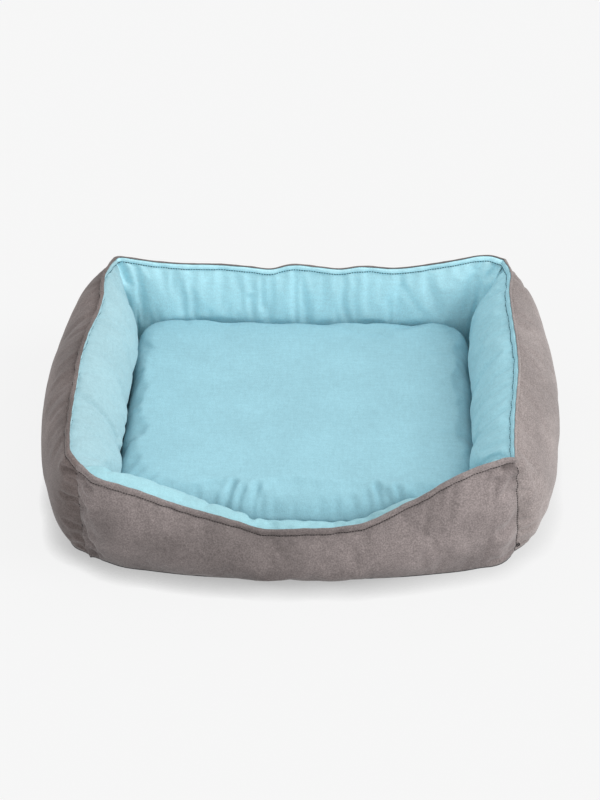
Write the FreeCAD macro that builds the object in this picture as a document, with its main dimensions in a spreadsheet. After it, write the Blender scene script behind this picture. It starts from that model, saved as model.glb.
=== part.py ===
import FreeCAD, Part
import math
import os
import Sketcher
from FreeCAD import Placement, Rotation, Vector

# Pet cushion bed: four stuffed walls sewn in a ring on a soft base, and a loose cushion that lifts out.
# Millimetres, +Z up, +Y towards the back wall, origin on the floor under the middle of the bed.

DIMENSIONS = {
    # the sewn rim: half widths to its middle line, bow of each side, and heights of its top edge
    "rim_half_width": 237.0,
    "rim_half_depth": 191.0,
    "rim_bow_side": 8.0,
    "rim_bow_front": 18.0,
    "rim_bow_back": -2.0,
    "back_corner_height": 152.0,
    "back_middle_height": 147.0,
    "front_corner_height": 137.0,
    "entry_height": 60.0,
    "entry_half_length": 60.0,
    "flange_height": 7.0,
    "flange_leaf": 2.0,
    # how far a stuffed wall stands out from the rim and reaches in from it
    "swell_side": 50.0,
    "swell_front": 30.0,
    "swell_back": 48.0,
    "swell_corner": 6.0,
    "belly_side": 42.0,
    "belly_front": 33.0,
    "belly_back": 8.0,
    "belly_corner": 22.0,
    # cloth and sewing clearances
    "cloth_thickness": 1.4,
    "seam_gap": 0.3,
    "filling_clearance": 2.2,
    "filling_drop": 10.0,
    # base, from the floor up
    "dot_height": 0.6,
    "dot_radius": 5.0,
    "dot_pitch": 72.0,
    "base_cloth_thickness": 1.0,
    "base_half_width": 239.0,
    "base_half_depth": 193.0,
    "base_bow_side": 29.0,
    "base_bow_front": 29.0,
    "base_bow_back": 17.0,
    "wadding_thickness": 6.0,
    "floor_half_width": 212.0,
    "floor_half_depth": 172.0,
    "floor_corner_radius": 22.0,
    "knot_ring_radius": 2.6,
    "knot_thread_radius": 0.9,
    "knot_height": 12.0,
    "knot_stand_off": 2.2,
    # loose cushion
    "cushion_half_width": 198.0,
    "cushion_half_depth": 173.0,
    "cushion_shift_back": 5.0,
    "cushion_corner_radius": 60.0,
    "cushion_seam_height": 42.0,
    "cushion_crown_height": 81.0,
    "cushion_crown_reach": 26.0,
    "cushion_under_reach": 30.0,
    "cushion_rest_gap": 0.4,
}

STATIONS = (-1.0, -0.85, -0.6, -0.3, 0.0, 0.3, 0.6, 0.85, 1.0)
ENTRY_STATIONS = (-1.0, -0.9, -0.78, -0.66, -0.54, -0.42, -0.3, -0.15,
                  0.0, 0.15, 0.3, 0.42, 0.54, 0.66, 0.78, 0.9, 1.0)
CUSHION_LEVELS = (0.0, 0.16, 0.36, 0.58, 0.78, 0.93, 1.0)
FACE_POINTS = 11          # points of a section's bulging face
FLANGE_POINTS = 7         # points of the rounded top of a flange leaf
WIDEST_LEVEL = 0.36       # height of a wall's widest level, as a share of its height
SHOULDER_POWER = 1.5      # above 1 the shoulder below the flange slopes instead of lying flat
TUCK_ANGLE = 145.0        # where a face meets the base, in degrees from its top
MITRE_POWER = 7           # how late the sections turn into the corner planes
SWELL_POWER = 2.6
BELLY_POWER = 4.0


def make_sheet(doc):
    """The driving dimensions, one aliased cell each."""
    sheet = doc.addObject("Spreadsheet::Sheet", "Sizes")
    for row, (alias, value) in enumerate(DIMENSIONS.items(), start=1):
        sheet.set(f"A{row}", alias)
        sheet.set(f"B{row}", str(value))
        sheet.setAlias(f"B{row}", alias)
    doc.recompute()
    return sheet


# ---- stuffed walls ----

class Wall:
    """One stuffed wall of the ring, between two corner seams.

    s runs from -1 to 1 along the wall. A section of the wall at s has u, the distance out from the rim, and
    z. At s = -1 and 1 the section lies in the mitre plane that the wall shares with its neighbour.
    """

    def __init__(self, sheet, name, outward, along, half_length, offset, rim_height, stations=STATIONS):
        kind = {"left": "side", "right": "side"}.get(name, name)
        self.sheet = sheet
        self.name = name
        self.outward = Vector(*outward, 0)
        self.along = Vector(*along, 0)
        self.half_length = half_length
        self.offset = offset
        self.rim_height = rim_height
        self.stations = stations
        self.bow = getattr(sheet, f"rim_bow_{kind}")
        self.swell = getattr(sheet, f"swell_{kind}")
        self.belly = getattr(sheet, f"belly_{kind}")

    def point(self, s, u, z):
        lean = math.copysign(abs(s) ** MITRE_POWER, s)
        out = self.offset + self.bow * (1 - s * s) + u
        return self.outward * out + self.along * (s * self.half_length + lean * u) + Vector(0, 0, z)

    def reach(self, s, side):
        """How far the face stands from the rim at s: outside for side 1, inside for side -1."""
        if side > 0:
            corner, middle, power = self.sheet.swell_corner, self.swell, SWELL_POWER
        else:
            corner, middle, power = self.sheet.belly_corner, self.belly, BELLY_POWER
        return corner + (middle - corner) * (1 - abs(s) ** power)


def make_walls(sheet):
    back_corner, front_corner = sheet.back_corner_height, sheet.front_corner_height

    def back_height(s):
        return sheet.back_middle_height + (back_corner - sheet.back_middle_height) * s ** 4

    def front_height(s):
        ramp = sheet.rim_half_width - sheet.entry_half_length
        rise = max(0.0, (abs(s) * sheet.rim_half_width - sheet.entry_half_length) / ramp)
        return sheet.entry_height + (front_corner - sheet.entry_height) * rise * rise * (3 - 2 * rise)

    def side_height(towards_back):
        middle = (back_corner + front_corner) / 2
        slope = (back_corner - front_corner) / 2 * towards_back
        return lambda s: middle + slope * s

    wide, deep = sheet.rim_half_width, sheet.rim_half_depth
    return [
        Wall(sheet, "front", (0, -1), (1, 0), wide, deep, front_height, ENTRY_STATIONS),
        Wall(sheet, "back", (0, 1), (-1, 0), wide, deep, back_height),
        Wall(sheet, "left", (-1, 0), (0, -1), deep, wide, side_height(-1)),
        Wall(sheet, "right", (1, 0), (0, 1), deep, wide, side_height(1)),
    ]


def face_curve(reach, top, bottom, widest):
    """Points (u, z) of a wall's face, from its top down to the base seam, bulging most at the widest level."""
    last = math.radians(TUCK_ANGLE)
    points = []
    for i in range(FACE_POINTS):
        angle = last * i / (FACE_POINTS - 1)
        drop = math.cos(angle)
        if drop < 0:
            drop = drop / abs(math.cos(last)) * (widest - bottom)
        else:
            drop = drop * (top - widest)
        points.append((reach * math.sin(angle) ** SHOULDER_POWER, widest + drop))
    return points


def moved_in(points, distance):
    """The same curve moved into the wall, square to itself."""
    moved = []
    for i, (u, z) in enumerate(points):
        (u0, z0), (u1, z1) = points[max(0, i - 1)], points[min(len(points) - 1, i + 1)]
        length = math.hypot(u1 - u0, z1 - z0)
        moved.append((u + (z1 - z0) / length * distance, z - (u1 - u0) / length * distance))
    return moved


def base_level(sheet):
    return sheet.dot_height + sheet.base_cloth_thickness


def levels(sheet, wall, s):
    """Heights of a section: the rim's top, the stitch line under the flange, and the widest level."""
    top = wall.rim_height(s)
    neck = top - sheet.flange_height
    base = base_level(sheet)
    return top, neck, base + WIDEST_LEVEL * (neck - base)


def panel_outline(sheet, wall, s, side):
    """A cloth panel's section: its leaf of the flange, its face, and the same line one cloth thickness in."""
    top, neck, widest = levels(sheet, wall, s)
    gap = sheet.seam_gap / 2
    cloth = sheet.cloth_thickness
    base = base_level(sheet)
    leaf = []
    for i in range(FLANGE_POINTS):
        angle = math.pi * i / (FLANGE_POINTS - 1)
        bulge = (sheet.flange_leaf - cloth * (1 - math.cos(angle)) / 2) * math.sin(angle) ** 0.5
        neck_width = cloth * (1 - math.cos(angle)) / 2
        leaf.append((gap + bulge + neck_width, top - sheet.flange_height * (1 - math.cos(angle)) / 2))
    leaf[0] = (gap, top)
    face = [(gap + cloth + u, z) for u, z in face_curve(wall.reach(s, side), neck, base, widest)]
    inside = [(max(gap, u), z) for u, z in moved_in(face, cloth)]
    inside[0] = (gap, neck - cloth)
    inside[-1] = (inside[-1][0], base)
    curves = [leaf, [leaf[-1]] + face[1:], [face[-1], inside[-1]], inside[::-1], [inside[0], leaf[0]]]
    return [[(side * u, z) for u, z in curve] for curve in curves]


def filling_outline(sheet, wall, s):
    """A wall filling's section: a smaller copy of the space between the two panels, clear of the cloth."""
    _, neck, widest = levels(sheet, wall, s)
    top = neck - sheet.filling_drop
    low = base_level(sheet) + sheet.seam_gap
    halves = []
    for side in (1, -1):
        reach = wall.reach(s, side) - sheet.filling_clearance
        halves.append([(side * u, z) for u, z in face_curve(reach, top, low, widest)])
    outside, inside = halves
    return [outside, [outside[-1], inside[-1]], inside[::-1]]


def edge_through(points):
    if len(points) == 2:
        return Part.makeLine(*points)
    spline = Part.BSplineCurve()
    spline.interpolate(Points=points)
    return spline.toShape()


def wall_loft(wall, outline):
    """A solid through the wall's sections. outline(s) gives a section as joined curves of (u, z)."""
    wires = []
    for s in wall.stations:
        curves = [[wall.point(s, u, z) for u, z in curve] for curve in outline(s)]
        wires.append(Part.Wire([edge_through(points) for points in curves]))
    return Part.makeLoft(wires, True, False)


def add_shape(doc, label, shape):
    """A free-form sub-part, whose surface neither sketch features nor primitives describe."""
    made = doc.addObject("Part::Feature", label)
    made.Label = label
    made.Shape = shape
    made.Placement = Placement(Vector(0, 0, 0), Rotation())
    return made


def make_wall_parts(doc, sheet):
    made = []
    for wall in make_walls(sheet):
        outlines = {
            "outer_panel": lambda s: panel_outline(sheet, wall, s, 1),
            "lining_panel": lambda s: panel_outline(sheet, wall, s, -1),
            "wall_filling": lambda s: filling_outline(sheet, wall, s),
        }
        for name, outline in outlines.items():
            made.append(add_shape(doc, f"{wall.name}_{name}", wall_loft(wall, outline)))
    return made


# ---- base ----

def new_body(doc, label, height):
    """A PartDesign body whose own origin stands at height, given as an expression of the sheet."""
    body = doc.addObject("PartDesign::Body", label)
    body.Label = label
    body.setExpression("Placement.Base.z", height)
    return body


def new_sketch(body, name):
    plane = next(f for f in body.Origin.OriginFeatures if f.Role == "XY_Plane")
    sketch = body.newObject("Sketcher::SketchObject", name)
    sketch.AttachmentSupport = [(plane, "")]
    sketch.MapMode = "FlatFace"
    return sketch


def size_rule(sketch, kind, *where, expression):
    """A sketch dimension bound to the sheet. It starts at its drawn size, so nothing flips."""
    index = sketch.addConstraint(Sketcher.Constraint(kind, *where))
    sketch.setExpression(f"Constraints[{index}]", expression)


def add_pad(body, sketch, length):
    pad = body.newObject("PartDesign::Pad", f"{body.Name}_pad")
    pad.Profile = sketch
    pad.setExpression("Length", length)
    return pad


def make_base_cloth(doc, sheet):
    """The cloth under the whole bed: four arcs, bowed out between the corner seams."""
    body = new_body(doc, "base_cloth", "Sizes.dot_height")
    sketch = new_sketch(body, "base_cloth_outline")
    wide, deep = sheet.base_half_width, sheet.base_half_depth
    bow_names = ("base_bow_front", "base_bow_side", "base_bow_back", "base_bow_side")
    corners = [Vector(-wide, -deep, 0), Vector(wide, -deep, 0), Vector(wide, deep, 0), Vector(-wide, deep, 0)]
    for i, name in enumerate(bow_names):
        bow = getattr(sheet, name)
        start, end = corners[i], corners[(i + 1) % 4]
        middle = (start + end) / 2
        outward = Vector(end.y - start.y, start.x - end.x, 0).normalize()
        sketch.addGeometry(Part.Arc(start, middle + outward * bow, end), False)
    for i in range(4):
        sketch.addConstraint(Sketcher.Constraint("Coincident", i, 2, (i + 1) % 4, 1))
    for i, corner in enumerate(corners):
        for kind, value, alias in (("DistanceX", corner.x, "base_half_width"),
                                   ("DistanceY", corner.y, "base_half_depth")):
            sign = "-" if value < 0 else ""
            size_rule(sketch, kind, -1, 1, i, 1, value, expression=f"{sign}Sizes.{alias}")
    for i, (name, half_name) in enumerate(zip(bow_names, ("base_half_width", "base_half_depth") * 2)):
        bow, half = getattr(sheet, name), getattr(sheet, half_name)
        rule = f"(Sizes.{half_name}^2 + Sizes.{name}^2) / (2 * Sizes.{name})"
        size_rule(sketch, "Radius", i, (half ** 2 + bow ** 2) / (2 * bow), expression=rule)
    add_pad(body, sketch, "Sizes.base_cloth_thickness")
    return [body]


def make_floor_layer(doc, sheet, label, height, thickness):
    """A flat layer inside the ring of walls: a rectangle with rounded corners."""
    body = new_body(doc, label, height)
    sketch = new_sketch(body, f"{label}_outline")
    wide, deep, radius = sheet.floor_half_width, sheet.floor_half_depth, sheet.floor_corner_radius
    corners = [(-1, -1), (1, -1), (1, 1), (-1, 1)]
    centres = [Vector(x * (wide - radius), y * (deep - radius), 0) for x, y in corners]
    for i, centre in enumerate(centres):
        start = math.radians(180 + 90 * i)
        circle = Part.Circle(centre, Vector(0, 0, 1), radius)
        sketch.addGeometry(Part.ArcOfCircle(circle, start, start + math.pi / 2), False)
    for i in range(4):
        arc, following = sketch.Geometry[i], sketch.Geometry[(i + 1) % 4]
        sketch.addGeometry(Part.LineSegment(arc.EndPoint, following.StartPoint), False)
    for i in range(4):
        sketch.addConstraint(Sketcher.Constraint("Tangent", i, 2, 4 + i, 1))
        sketch.addConstraint(Sketcher.Constraint("Tangent", 4 + i, 2, (i + 1) % 4, 1))
        for kind, value, alias in (("DistanceX", centres[i].x, "floor_half_width"),
                                   ("DistanceY", centres[i].y, "floor_half_depth")):
            rule = f"{'-' if value < 0 else ''}(Sizes.{alias} - Sizes.floor_corner_radius)"
            size_rule(sketch, kind, -1, 1, i, 3, value, expression=rule)
    size_rule(sketch, "Radius", 0, radius, expression="Sizes.floor_corner_radius")
    add_pad(body, sketch, thickness)
    return [body]


def make_grip_dots(doc, sheet):
    """Rows of thin round dots under the base cloth, printed on it."""
    dot = doc.addObject("Part::Cylinder", "grip_dot")
    dot.setExpression("Radius", "Sizes.dot_radius")
    dot.setExpression("Height", "Sizes.dot_height")
    doc.recompute()
    columns = int(sheet.base_half_width // sheet.dot_pitch)
    rows = int(sheet.base_half_depth // sheet.dot_pitch)
    dots = []
    for i in range(-columns, columns + 1):
        for j in range(-rows, rows + 1):
            copy = dot.Shape.copy()
            copy.translate(Vector(i * sheet.dot_pitch, j * sheet.dot_pitch, 0))
            dots.append(copy)
    return [add_shape(doc, "grip_dots", Part.makeCompound(dots))]


def make_thread_knot(doc):
    """The knotted thread end at the foot of the front right corner seam: two crossed loops."""
    loops = []
    for name, turn in (("upright", 0), ("crossed", 90)):
        loop = doc.addObject("Part::Torus", f"knot_loop_{name}")
        loop.setExpression("Radius1", "Sizes.knot_ring_radius")
        loop.setExpression("Radius2", "Sizes.knot_thread_radius")
        loop.setExpression("Placement.Base.x", "Sizes.rim_half_width + Sizes.swell_corner + Sizes.knot_stand_off")
        loop.setExpression("Placement.Base.y", "-(Sizes.rim_half_depth + Sizes.swell_corner + Sizes.knot_stand_off)")
        loop.setExpression("Placement.Base.z", "Sizes.knot_height")
        loop.Placement.Rotation = Rotation(Vector(1, -1, 0), turn) * Rotation(Vector(1, 1, 0), 90)
        loops.append(loop)
    knot = doc.addObject("Part::MultiFuse", "corner_thread_knot")
    knot.Label = "corner_thread_knot"
    knot.Shapes = loops
    return [knot]


# ---- loose cushion ----

def rounded_rectangle(half_width, half_depth, radius, middle):
    """A closed wire of four quarter circles and four sides, level, about the point middle."""
    arcs = []
    for i, (x, y) in enumerate([(1, -1), (1, 1), (-1, 1), (-1, -1)]):
        centre = middle + Vector(x * (half_width - radius), y * (half_depth - radius), 0)
        angles = [math.radians(90 * i - 90 + step) for step in (0, 45, 90)]
        arcs.append([centre + Vector(math.cos(a), math.sin(a), 0) * radius for a in angles])
    edges = []
    for i, points in enumerate(arcs):
        edges.append(Part.Arc(*points).toShape())
        edges.append(Part.makeLine(points[-1], arcs[(i + 1) % 4][0]))
    return Part.Wire(edges)


def cushion_half(sheet, inset, upward):
    """One half of the cushion, from the seam level to the crown or to the flat underside."""
    seam = sheet.cushion_seam_height
    if upward:
        end, reach = sheet.cushion_crown_height - inset, sheet.cushion_crown_reach
    else:
        end, reach = cushion_bottom(sheet) + inset, sheet.cushion_under_reach
    wires = []
    for level in CUSHION_LEVELS:
        draw = inset + reach * (1 - math.sqrt(1 - level * level))
        radius = sheet.cushion_corner_radius - draw * 0.35
        middle = Vector(0, sheet.cushion_shift_back, seam + (end - seam) * level)
        wires.append(rounded_rectangle(sheet.cushion_half_width - draw, sheet.cushion_half_depth - draw,
                                       radius, middle))
    return Part.makeLoft(wires, True, False)


def floor_top(sheet):
    return base_level(sheet) + sheet.wadding_thickness + sheet.cloth_thickness + 2 * sheet.seam_gap


def cushion_bottom(sheet):
    return floor_top(sheet) + sheet.cushion_rest_gap


def make_cushion(doc, sheet):
    """Top and bottom cloth panels sewn together round the edge, and the filling inside them."""
    cloth, gap = sheet.cloth_thickness, sheet.seam_gap
    made = []
    for name, upward in (("cushion_top_panel", True), ("cushion_bottom_panel", False)):
        skin = add_shape(doc, f"{name}_outside", cushion_half(sheet, 0.0, upward))
        hollow = add_shape(doc, f"{name}_inside", cushion_half(sheet, cloth, upward))
        panel = doc.addObject("Part::Cut", name)
        panel.Label = name
        panel.Base = skin
        panel.Tool = hollow
        made.append(panel)
    filling = doc.addObject("Part::MultiFuse", "cushion_filling")
    filling.Label = "cushion_filling"
    filling.Shapes = [add_shape(doc, f"cushion_filling_{name}", cushion_half(sheet, cloth + gap, upward))
                      for name, upward in (("upper", True), ("lower", False))]
    made.append(filling)
    return made


# ---- document ----

def check_and_write(doc, parts):
    for item in doc.Objects:
        if "Invalid" in item.State or "Error" in item.State:
            raise RuntimeError(f"{item.Label} failed: {item.State}")
    os.makedirs("parts", exist_ok=True)
    for part in parts:
        shape = part.Shape
        if shape.isNull() or not shape.isValid() or shape.Volume <= 0:
            raise RuntimeError(f"{part.Label} has no valid solid")
        box = shape.BoundBox
        print(f"{part.Label:26s} {shape.Volume / 1000:9.2f} cm3  solids {len(shape.Solids)}  "
              f"x {box.XMin:7.1f} {box.XMax:7.1f}  y {box.YMin:7.1f} {box.YMax:7.1f}  "
              f"z {box.ZMin:6.1f} {box.ZMax:6.1f}")
        shape.exportStep(f"parts/{part.Label}.step")


def main():
    doc = FreeCAD.newDocument("pet_cushion_bed")
    sheet = make_sheet(doc)
    above_cloth = "Sizes.dot_height + Sizes.base_cloth_thickness + Sizes.seam_gap"
    parts = make_wall_parts(doc, sheet)
    parts += make_base_cloth(doc, sheet)
    parts += make_floor_layer(doc, sheet, "base_wadding", above_cloth, "Sizes.wadding_thickness")
    parts += make_floor_layer(doc, sheet, "floor_lining",
                              f"{above_cloth} + Sizes.wadding_thickness + Sizes.seam_gap",
                              "Sizes.cloth_thickness")
    parts += make_grip_dots(doc, sheet)
    parts += make_thread_knot(doc)
    parts += make_cushion(doc, sheet)
    doc.recompute()
    check_and_write(doc, parts)


main()
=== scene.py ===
import math

import bpy
import numpy as np
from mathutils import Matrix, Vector, noise


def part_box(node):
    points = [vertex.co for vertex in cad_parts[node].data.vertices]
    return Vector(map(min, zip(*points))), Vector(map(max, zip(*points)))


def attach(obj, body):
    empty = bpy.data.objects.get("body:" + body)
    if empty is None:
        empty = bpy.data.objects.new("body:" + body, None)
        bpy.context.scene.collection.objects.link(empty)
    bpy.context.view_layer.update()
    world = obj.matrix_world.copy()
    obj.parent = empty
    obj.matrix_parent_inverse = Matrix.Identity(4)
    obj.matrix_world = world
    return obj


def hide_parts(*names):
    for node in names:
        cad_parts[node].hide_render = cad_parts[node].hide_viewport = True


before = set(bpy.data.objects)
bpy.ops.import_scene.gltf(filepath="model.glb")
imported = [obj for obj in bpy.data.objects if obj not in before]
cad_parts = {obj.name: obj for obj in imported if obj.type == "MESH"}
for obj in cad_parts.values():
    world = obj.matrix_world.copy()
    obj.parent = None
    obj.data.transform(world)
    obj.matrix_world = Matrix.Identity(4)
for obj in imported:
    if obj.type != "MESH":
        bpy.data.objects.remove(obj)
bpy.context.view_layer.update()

# Metres, +Z up, +Y towards the back wall, as in the frame. A wall is described along its length by s, from -1
# to 1 between its two corner seams, and across it by rows, from the rim down its face to the base seam.

MM = 0.001
CELL = 4.2 * MM           # spacing of the walls' cloth grids
CLOTH = 0.8 * MM          # thickness of a cloth panel
SEAM_GAP = 0.15 * MM      # half the space between two pieces sewn together
FLANGE_HEIGHT = 7.0 * MM
FLANGE_LEAF = 2.5 * MM    # how far a leaf of the flange stands out
LINING_LEAF_DROP = 1.5 * MM    # how much lower the lining's leaf starts: the outer cloth is turned over it
TURN_OVER = -0.6          # where the outer cloth's leaf starts, past the top, in radians
LEAF_ROWS = 8             # from the top of the flange to its stitch line
STITCH_PITCH = 3.1 * MM
TUCK_ANGLE = math.radians(145)    # how far round a face's section runs, so that it tucks in at the base
TUCK_POWER = 1.5
FACE_ASPECT = 0.4         # a face's usual reach over its height, to space its rows evenly
# The shoulder below the flange is round up to 1 and slopes above 1. The widest level is a share of the
# height.
SHOULDER = {("left", 1): 1.25, ("right", 1): 1.25, ("front", 1): 1.5, ("back", 1): 1.5,
            ("left", -1): 1.1, ("right", -1): 1.1, ("front", -1): 0.45, ("back", -1): 1.3}
WIDEST = {("left", 1): 0.36, ("right", 1): 0.36, ("front", 1): 0.36, ("back", 1): 0.36,
          ("left", -1): 0.6, ("right", -1): 0.6, ("front", -1): 0.62, ("back", -1): 0.45}
MITRE_POWER = 7           # how late the sections turn into the corner planes
RIPPLE_POWER = 10         # how fast the flange's wave dies out down a face
ENTRY_HALF_LENGTH = 60 * MM    # the level part of the dip at the entrance
ENTRY_TOP = 60 * MM
BACK_SAG = 5 * MM         # how much lower the back wall is in its middle


def edge(node, axis, high):
    """One side of a CAD node's box."""
    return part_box(node)[1 if high else 0][axis]


RIM_X = -edge("left_outer_panel", 0, True)
RIM_Y = -edge("front_outer_panel", 1, True)
BASE_Z = edge("base_cloth", 2, True)
FLOOR_TOP = edge("floor_lining", 2, True)
BACK_CORNER_TOP = edge("back_outer_panel", 2, True)
FRONT_CORNER_TOP = edge("front_outer_panel", 2, True)
BACK_MIDDLE_TOP = BACK_CORNER_TOP - BACK_SAG
# How far the middle of each wall stands out from the line between its corners.
BOW = {
    "front": -RIM_Y - edge("front_lining_panel", 1, False),
    "back": edge("back_outer_panel", 1, False) - RIM_Y,
    "left": -RIM_X - edge("left_lining_panel", 0, False),
    "right": edge("right_lining_panel", 0, True) - RIM_X,
}

# How this bed's rim lies, against the even pattern: (s, along the wall, outwards, upwards) in millimetres.
RIM_DRIFT = {
    "front": [
        (-1, 1, 7.5, -1), (-0.925, 0, 20.5, -3.5), (-0.81, 0, 18, -3), (-0.69, 0, 14.5, 1.5),
        (-0.59, 0, 11.5, 5), (-0.46, 0, 8, 11.5), (-0.34, 0, 5, 12.5), (-0.27, 0, 4, 8.5),
        (-0.2, 0, 2.5, 1), (0, 0, 1, 0), (0.16, 0, -1, 0), (0.24, 0, -2, 2.5), (0.31, 0, -2.5, 6),
        (0.39, 0, -3, 11), (0.46, 0, -3.5, 13.5), (0.54, 0, -4.5, 12), (0.62, 0, -6, 12.5),
        (0.7, 0, -6.5, 12.5), (0.77, 0, -7, 10.5), (0.85, 0, -7, 7.5), (0.925, -1, -7.5, 5.5),
        (1, -8, -6.5, 3)],
    "right": [
        (-1, 6.5, -8, 3), (-0.8, 0, -9, 2), (-0.43, 0, -6.5, 1.5), (-0.15, 0, -2, 1.5), (0.15, 0, -1, 1),
        (0.41, 0, -1.5, 0.5), (0.67, 0, 0, 0.5), (0.91, 0, 5.5, 0), (1, 2.5, 1, 0)],
    "back": [
        (-1, -1, 2.5, 0), (-0.94, 0, 8, 3), (-0.88, 0, 8, 4), (-0.78, 0, 4, 2.5), (-0.62, 0, 0, -1.5),
        (-0.45, 0, -2.5, -5), (-0.26, 0, -3, -2.5), (-0.17, 0, -3, -6), (-0.065, 0, -3, -3.5),
        (0.09, 0, -3, -1), (0.18, 0, -3, -7), (0.29, 0, -3, -4.5), (0.44, 0, -2, -2.5), (0.65, 0, -1.5, -3),
        (0.78, 0, -1, -2), (0.9, 0, 0, 0), (0.96, 0, 1, 0), (1, -6, -4, 0)],
    "left": [
        (-1, 4, -6, 0), (-0.93, 0, -2.5, 0), (-0.84, 0, 1, 0), (-0.56, 0, -2.5, 0), (-0.39, 0, -1, 0),
        (-0.2, 0, 5, 1), (0.05, 0, 9, 1), (0.34, 0, 10, 1.5), (0.62, 0, 12, 2), (0.78, 2, 12, 2),
        (0.91, 10, 8.5, 2), (1, 7.5, -1, -1)],
}
# The same at the base seam: (s, along the wall, outwards).
FOOT_DRIFT = {
    "front": [
        (-1, 12, -9), (-0.92, 5, -2), (-0.85, 4, 3), (-0.7, 4, 4), (0, 0, 2), (0.6, 0, 0), (0.8, 0, -2),
        (0.93, 0, -9), (1, -3, -26)],
    "right": [(-1, 26, -3), (-0.93, 21, 0), (-0.8, 12, 0), (-0.6, 4, 0), (0, 0, 0), (1, 0, -4)],
    "back": [(-1, 4, 0), (0, 0, 0), (1, -4, 0)],
    "left": [(-1, 0, -4), (0, 0, 0), (0.6, 2, 4), (0.92, 0, 0), (1, -9, -13)],
}
# Reach of each face from the rim line: (s, reach in millimetres). Outer faces swell, linings belly in.
REACH = {
    ("front", 1): [
        (-1, 8), (-0.85, 15), (-0.6, 24), (-0.3, 29), (0, 30), (0.3, 29), (0.6, 24), (0.85, 14), (1, 6)],
    ("right", 1): [
        (-1, 8), (-0.85, 29), (-0.6, 43), (-0.3, 48), (0, 51), (0.3, 53), (0.6, 51), (0.85, 43), (1, 26)],
    ("back", 1): [
        (-1, 26), (-0.85, 38), (-0.6, 44), (-0.3, 46), (0, 46), (0.3, 46), (0.6, 43), (0.85, 36), (1, 20)],
    ("left", 1): [
        (-1, 20), (-0.85, 39), (-0.6, 53), (-0.3, 54), (0, 50), (0.3, 46), (0.6, 37), (0.85, 21), (1, 8)],
    ("front", -1): [
        (-1, 30), (-0.85, 46), (-0.65, 50), (-0.3, 46), (0, 42), (0.3, 38), (0.6, 26), (0.85, 22), (1, 22)],
    ("right", -1): [(-1, 30), (-0.85, 42), (-0.5, 48), (0, 50), (0.3, 47), (0.6, 41), (0.85, 35), (1, 16)],
    ("back", -1): [(-1, 12), (-0.8, 12), (0, 8), (0.8, 12), (1, 10)],
    ("left", -1): [(-1, 14), (-0.85, 30), (-0.5, 40), (0, 48), (0.5, 50), (0.85, 46), (1, 30)],
}
# How far the flange leans outwards over each wall, in degrees.
FLANGE_LEAN = {"left": -14, "right": 40, "back": 14, "front": -6}


def through(points, column, s):
    """A smooth curve through a few rows of points, read at s. Column 0 of the points is s."""
    table = np.array(points, float)
    xs, ys = table[:, 0], table[:, column]
    slopes = np.gradient(ys, xs)
    i = np.clip(np.searchsorted(xs, s, side="right") - 1, 0, len(xs) - 2)
    h = xs[i + 1] - xs[i]
    t = (s - xs[i]) / h
    return ((2 * t ** 3 - 3 * t ** 2 + 1) * ys[i] + (t ** 3 - 2 * t ** 2 + t) * h * slopes[i]
            + (3 * t ** 2 - 2 * t ** 3) * ys[i + 1] + (t ** 3 - t ** 2) * h * slopes[i + 1])


def smooth_step(t):
    t = np.clip(t, 0.0, 1.0)
    return t * t * (3 - 2 * t)


def run_along(points):
    """How far along a line of points each of them is."""
    return np.concatenate([[0], np.cumsum(np.linalg.norm(np.diff(points, axis=0), axis=1))])


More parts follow.
